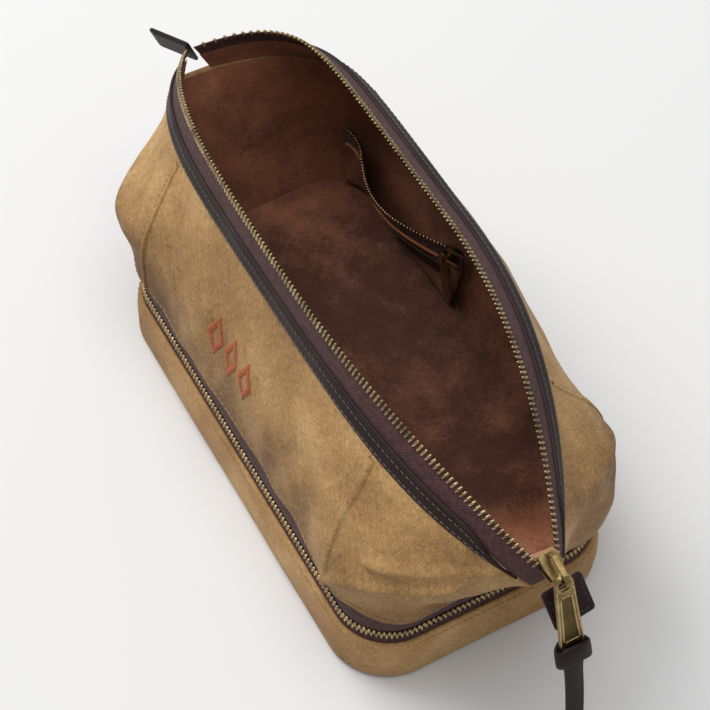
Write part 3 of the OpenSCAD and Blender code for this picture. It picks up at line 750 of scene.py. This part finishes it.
def rim_sheet(side, name, sec, mat, u0, u1, nu=220, flip=False, shape=None):
    """Strip of a rim from u0 to u1; its section of (w, off) points changes along it by shape(u, w, off)."""
    pts = []
    for i in range(nu):
        u = mix(u0, u1, ease(i / (nu - 1)))
        pts.append([flap(side, u, *(shape(u, w, off) if shape else (w, off))) for w, off in sec])
    pts = np.array(pts)
    return grid(name, pts, mat, arc_uv(pts), flip=flip != (side > 0))


def trim_shape(u, w, off):
    return w * taper(u), off * mix(0.5, 1.0, taper(u))


def tape_shape(u, w, off):
    return mix(1.0, w, mix(1.55, 1.0, taper(u))), off


trim_sec = [(0.03, -1.0), (0.015, -0.2), (0.02, 0.5), (0.06, 0.95), (0.14, 1.0), (0.24, 1.0), (0.31, 0.9),
            (0.335, 1.25), (0.36, 1.7), (0.39, 1.95), (0.42, 1.75), (0.445, 1.2), (0.45, 0.5),
            (0.44, -0.2), (0.4, -0.9)]
tape_sec = [(w, -0.1 + 0.35 * math.sin(math.pi * (w - 0.4) / 0.5)) for w in np.linspace(0.4, 0.93, 8)]
lin_sec = [(-0.02, -1.9), (0.1, -1.5), (0.3, -1.3), (0.5, -1.2), (0.6, -0.9)]
for side, tag in ((-1, "front"), (1, "back")):
    body = tag + "_rim"
    trim = rim_sheet(side, tag + "_trim_leather", trim_sec, LEATHER, 0.0, 0.985, shape=trim_shape)
    done(trim, body, "dark_leather", tag + "_trim")
    tape = rim_sheet(side, tag + "_tape_weave", tape_sec, TAPE, 0.0, 1.0, shape=tape_shape)
    done(thicken(tape, 0.7, 0.0), body, "zip_tape", tag + "_tape")
    done(rim_sheet(side, tag + "_rim_lining", lin_sec, LINING, 0.0, 0.94, flip=True), body, "lining")
    places = []
    for i in range(int(TOOTH_ROW / PITCH) - 1):
        u = (i + 0.3 + (0 if side < 0 else 0.5)) * PITCH / TOOTH_ROW
        p, q, f = flap(side, u, 1, 0), flap(side, u, 0.8, 0), teeth_line(side, u + 0.004)
        up = unit(p - q)
        n = unit(np.cross(unit(f - p), up))
        places.append((p, np.cross(up, n), up, n, 4.0))
    done(teeth_mesh(tag + "_teeth_coined", places, TEETH), body, "zip_teeth", tag + "_teeth")
    us = np.linspace(0.012, 0.95, 500)
    for k, w in enumerate((0.085, 0.27)):
        line = np.array([flap(side, u, w * taper(u), 1.05 * mix(0.5, 1.0, taper(u))) for u in us])
        outs = [unit(flap(side, u, w, 1) - flap(side, u, w, 0)) for u in us]
        segs = stitch_line(line, 2.3, 0.9, lambda i: outs[i])
        done(capsules(f"{tag}_trim_stitches_{k}", segs, 0.27, GREY_THREAD), body, "dark_leather")


# thread motif
def motif():
    """Three open diamonds in satin stitch, each thread running from the outer to the inner outline."""
    outer = np.array([(-6.6, 0), (0, -10), (6.6, 0), (0, 10)])
    inner = np.array([(-3.2, 0), (0, -5.0), (3.2, 0), (0, 5.0)])
    segs = []
    for s0 in (-25, -10, 5):
        out = level(path_out(s0))
        for k in range(4):
            for q in range(30):
                ends = [mix(line[k], line[(k + 1) % 4], (q + 0.5) / 30) for line in (outer, inner)]
                segs.append((*(cloth_pt(s0 + a, 0.52 + b / 78.0, -0.25) for a, b in ends), out))
    return capsules("motif_threads", segs, 0.34, RUST_THREAD)


bend_with_rim(motif(), -1, "motif_thread", "stitched_motif")


# inner pocket
POCKET_FAR, POCKET_NEAR, POCKET_V0, POCKET_V1 = -120.0, -20.0, 0.05, 0.4
POCKET_OUT, POCKET_FACE = 20.0, 6.1  # how far it bellies out, and stands off the wall at its ends


def pocket_pt(t, v, d):
    """Point of the pocket: t from its far end to its near end, v up to the zip, d towards the inside."""
    depth = POCKET_FACE + POCKET_OUT * math.sin(math.pi * t) ** 1.2 * max(0.0, v) ** 0.7 + d
    return shell_pt(HALF_PATH - mix(POCKET_FAR, POCKET_NEAR, t), mix(POCKET_V0, POCKET_V1, v), depth)


def pocket_sheet(name, v0, v1, mat, t0=0.0, t1=1.0, d=0.0, thick=0.8, high=10):
    pts = np.array([[pocket_pt(mix(t0, t1, i / 80), mix(v0, v1, j / (high - 1)), d) for j in range(high)]
                    for i in range(81)])
    return thicken(grid(name, pts, mat, arc_uv(pts)), thick, 0.0)


done(pocket_sheet("pocket_cloth", 0, 0.8, LINING, d=0.5), "upper_bag", "lining", "pocket_panel")
done(pocket_sheet("pocket_tape_weave", 0.72, 1.0, TAPE, d=0.5, thick=1.0),
     "upper_bag", "zip_tape", "pocket_tape")
done(pocket_sheet("pocket_leather", 0.45, 0.62, LEATHER, 0.62, 0.93, 1.9, 1.4),
     "upper_bag", "dark_leather", "pocket_strip")
pipe_ring = [np.array([0.0, -math.cos(g), math.sin(g)]) for g in np.linspace(0, 2 * math.pi, 9)[:-1]]
pipe = np.array([[pocket_pt(0.01 + 0.97 * i / 90, 0.72, 1.2) + r for r in pipe_ring] for i in range(91)])
done(grid("pocket_piping", pipe, PIPING, arc_uv(pipe), wrap_v=True), "upper_bag", "lining")
places = []
for i in range(52):
    t = mix(0.03, 0.9, i / 51)
    a, b = pocket_pt(t, 1, 0.5), pocket_pt(t + 0.01, 1, 0.5)
    along, rise = unit(b - a), np.array([0, 0, 1.0])
    places.append((a + 1.4 * rise, along, rise, np.cross(along, rise), 2.2))
done(teeth_mesh("pocket_teeth_coined", places, TEETH), "upper_bag", "zip_teeth", "pocket_teeth")


# leather tabs at the ends of the main zip
def turned(axis, deg):
    return np.array(Matrix.Rotation(math.radians(deg), 3, axis))


def tab(name, origin, along, across, l0, l1, half, node_name):
    """Two plies of leather with rounded corners and stitches along three edges."""
    normal = np.cross(along, across)
    r, outline = 1.6, []
    corners = ((l1 - r, half - r), (l0 + r, half - r), (l0 + r, -half + r), (l1 - r, -half + r))
    for quarter, (cx, cy) in enumerate(corners):
        for k in range(5):
            g = math.radians(90 * quarter + 22.5 * k)
            outline.append((cx + r * math.cos(g), cy + r * math.sin(g)))
    mid = (l0 + l1) / 2
    sec = [(0.0, 0.95), (0.75, 0.98), (0.97, 0.85), (1.0, 0.5), (1.0, 0.12), (0.985, 0.0), (1.0, -0.12),
           (1.0, -0.5), (0.97, -0.85), (0.75, -0.98), (0.0, -0.95)]
    pts = np.array([[origin + along * mix(mid, x, k) + across * y * k + normal * z for k, z in sec]
                    for x, y in outline])
    obj = grid(name, pts, LEATHER, arc_uv(pts), wrap_u=True)
    done(obj, "upper_bag", "dark_leather", node_name)
    x0, x1, y1, segs = l0 + 2.2, l1 - 2.2, half - 2.2, []
    edge = [(x0, y1), (x1, y1), (x1, -y1), (x0, -y1)]
    for sign in (1, -1):
        for (xa, ya), (xb, yb) in zip(edge, edge[1:]):
            line = [origin + along * mix(xa, xb, q / 20) + across * mix(ya, yb, q / 20) + normal * sign * 0.97
                    for q in range(21)]
            segs += stitch_line(line, 2.0, 0.9, lambda i, sgn=sign: normal * sgn)
    done(capsules(name + "_stitches", segs, 0.27, DARK_THREAD), "upper_bag", "dark_leather")


TAB_HALF_W = 10.5
near_turn = turned("Z", 6) @ turned("Y", 45)
tab("near_tab_leather", np.array([163.5, 4.5, END_Z - 12]), near_turn[:, 0], near_turn[:, 1],
    0, 18, TAB_HALF_W, "near_end_tab")
far_turn = turned("Z", 33) @ turned("X", 25)
tab("far_tab_leather", np.array([FAR_X - 1.5, -1.0, END_Z - 3]), far_turn[:, 0], far_turn[:, 2],
    -19, 3.5, TAB_HALF_W, "far_end_tab")

# leather strap of the main pull: a collar round the pull's foot and a flat tail
STRAP_TOP, STRAP_L, STRAP_W = np.array([184.23, 0.0, 77.593]), 58.0, 9.0
PULL_LEAN, STRAP_LEAN = 22.0, 12.0  # degrees from hanging straight down
COLLAR_HALF = (3.1, 7.0)  # half the collar's opening, through the pull's thickness and across its width
pull_turn, strap_turn = turned("Y", -PULL_LEAN), turned("Y", -STRAP_LEAN)
collar = []
collar_sec = [(0, -4.6), (1.3, -4.9), (1.7, -4.2), (1.75, 0.0), (1.6, 3.6), (1.1, 4.3), (0.2, 4.0), (0, 0.0)]
for i in range(48):
    g = 2 * math.pi * i / 48
    lift = 1.3 * math.cos(2 * g) - 0.6
    collar.append([STRAP_TOP + pull_turn @ np.array([(COLLAR_HALF[0] + rad) * math.cos(g),
                                                     (COLLAR_HALF[1] + rad) * math.sin(g), z + lift])
                   for rad, z in collar_sec])
collar = np.array(collar)
collar_obj = grid("strap_collar", collar, LEATHER, arc_uv(collar), wrap_u=True, wrap_v=True)
tail = []
for i in range(40):
    t = i / 39
    z = mix(-2.5, -STRAP_L, t)
    half_w = STRAP_W / 2 * (1 + 0.22 * math.exp(-((t - 0.06) / 0.08) ** 2))
    bow = 1.2 * math.sin(math.pi * t)
    edge = half_w - 0.4
    ring = [(0.9, -edge), (0.95, 0.0), (0.9, edge), (0.4, half_w), (-0.4, half_w), (-0.9, edge),
            (-0.95, 0.0), (-0.9, -edge), (-0.4, -half_w), (0.4, -half_w)]
    tail.append([STRAP_TOP + strap_turn @ np.array([x + bow, y, z]) for x, y in ring])
tail = np.array(tail)
tail_obj = grid("strap_tail", tail, LEATHER, arc_uv(tail), wrap_v=True)
done(collar_obj, "pull_strap", "dark_leather", "pull_strap")
done(tail_obj, "pull_strap", "dark_leather", "pull_strap")

# raised edges and dark recess of the main pull
PULL_PIN = np.array([170.108, 0.0, 112.548])  # where the pull turns on the slider's bridge
PULL_EYE, PULL_HALF_T = PULL_PIN + pull_turn @ np.array([0.0, 0.0, -1.5]), 0.75
EDGE_R = 0.42


def pull_pt(y, z, x):
    """Point of the pull: y across it, z along it from the middle of its eye, x out of its face."""
    return PULL_EYE + pull_turn @ np.array([x, y, z])


def bead(name, outline, x, radius):
    """A raised round edge that follows a closed outline on the face of the pull."""
    turn = [2 * math.pi * q / 8 for q in range(8)]
    pts = []
    n = len(outline)
    for i, (y, z) in enumerate(outline):
        (ya, za), (yb, zb) = outline[i - 1], outline[(i + 1) % n]
        side = unit(np.array([-(zb - za), yb - ya]))
        pts.append([pull_pt(y + side[0] * radius * math.cos(g), z + side[1] * radius * math.cos(g),
                            x + radius * 0.7 * math.sin(g)) for g in turn])
    pts = np.array(pts)
    done(grid(name, pts, BRASS_RUBBED, arc_uv(pts), wrap_u=True, wrap_v=True), "main_pull", "aged_brass")


def rounded(corners, r):
    """Outline of a polygon, turning left, whose corners are arcs."""
    out, n = [], len(corners)
    for i in range(n):
        c = np.array(corners[i])
        a, b = unit(np.array(corners[i - 1]) - c), unit(np.array(corners[(i + 1) % n]) - c)
        for k in range(6):
            t = k / 5
            p = (1 - t) ** 2 * (c + a * r) + 2 * t * (1 - t) * c + t * t * (c + b * r)
            out.append((p[0], p[1]))
    return out


eye = [(3.75 * math.cos(g), 3.75 * math.sin(g)) for g in np.linspace(0, 2 * math.pi, 33)[:-1]]
outer = rounded([(4.0, -1.5), (-4.0, -1.5), (-5.5, -36.4), (5.5, -36.4)], 1.4)
recess = rounded([(2.7, -6.4), (-2.7, -6.4), (-3.7, -30.4), (3.7, -30.4)], 1.0)
for tag, sign in (("out", 1), ("in", -1)):
    face = sign * PULL_HALF_T
    bead("pull_eye_edge_" + tag, eye, face, EDGE_R)
    bead("pull_outer_edge_" + tag, outer, face, EDGE_R)
    bead("pull_recess_edge_" + tag, recess, face, 0.4)
panel = rounded([(2.5, -6.6), (-2.5, -6.6), (-3.5, -30.2), (3.5, -30.2)], 0.9)
middle = np.mean(panel, axis=0)
panel_pts = np.array([[pull_pt(mix(middle[0], y, k), mix(middle[1], z, k), x) for k, x in
                       ((0.0, 0.42), (0.5, 0.42), (0.93, 0.46), (1.0, 0.8))] for y, z in panel])
panel_obj = grid("pull_recess", panel_pts, BRASS_DARK, arc_uv(panel_pts), wrap_u=True)
done(panel_obj, "main_pull", "aged_brass")

# hardware
for name in ("main_slider", "main_pull", "lower_slider", "lower_pull", "pocket_slider", "pocket_pull"):
    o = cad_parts[name]
    o.data.materials.clear()
    o.data.materials.append(BRASS)
    b = o.modifiers.new("soft", "BEVEL")
    b.width, b.segments, b.limit_method, b.angle_limit = 0.00028, 3, "ANGLE", math.radians(40)

# ---------------------------------------------------------------- stage
bpy.context.scene.view_settings.view_transform = "Standard"
world = bpy.data.worlds.new("studio")
bpy.context.scene.world = world
world.use_nodes = True
world.node_tree.nodes["Background"].inputs[0].default_value = (1.0, 0.99, 0.975, 1)
world.node_tree.nodes["Background"].inputs[1].default_value = 0.4
bpy.ops.mesh.primitive_plane_add(size=6, location=(0, 0, 0))
floor = bpy.context.object
floor.name = "floor"
fm, fnt, fb = new_mat("floor_pale")
fn = noise_tex(fnt, fnt.nodes.new("ShaderNodeTexCoord").outputs["Object"], 3.0, 2)
pale = ramp(fnt, fn, [(0.2, (0.695, 0.7, 0.71)), (0.8, (0.71, 0.715, 0.725))])
fnt.links.new(pale, fb.inputs["Base Color"])
fb.inputs["Roughness"].default_value = 0.9
floor.data.materials.append(fm)


def area(name, loc, size, power, col=(1, 1, 1)):
    """Square soft light that faces the middle of the bag; places in metres, power in watts."""
    light = bpy.data.lights.new(name, "AREA")
    light.shape, light.size, light.size_y = "RECTANGLE", size, size
    light.energy, light.color = power, col
    o = bpy.data.objects.new(name, light)
    bpy.context.scene.collection.objects.link(o)
    o.location = loc
    o.rotation_euler = (Vector((0, 0, 0.05)) - Vector(loc)).to_track_quat("-Z", "Y").to_euler()


area("key", (-2.0, -0.75, 2.2), 1.9, 70, (1.0, 0.985, 0.96))
area("top", (0.1, 0.0, 2.0), 1.6, 18)

# camera: angles round and above the bag, its tilt, and its distance in metres
AZ, EL, ROLL, DIST = math.radians(59.6), math.radians(53.8), math.radians(2.0), 0.96
target = Vector((-0.004, -0.0006, 0.06))
back = Vector((math.sin(AZ) * math.cos(EL), -math.cos(AZ) * math.cos(EL), math.sin(EL)))
right = Vector((math.cos(AZ), math.sin(AZ), 0))
up = back.cross(right)
r2 = right * math.cos(ROLL) + up * math.sin(ROLL)
u2 = up * math.cos(ROLL) - right * math.sin(ROLL)
cam = bpy.data.objects.new("camera", bpy.data.cameras.new("camera"))
bpy.context.scene.collection.objects.link(cam)
cam.data.lens, cam.data.sensor_width = 102.5, 36
cam.matrix_world = Matrix((r2, u2, back)).transposed().to_4x4()
cam.location = target + back * DIST
bpy.context.scene.camera = cam
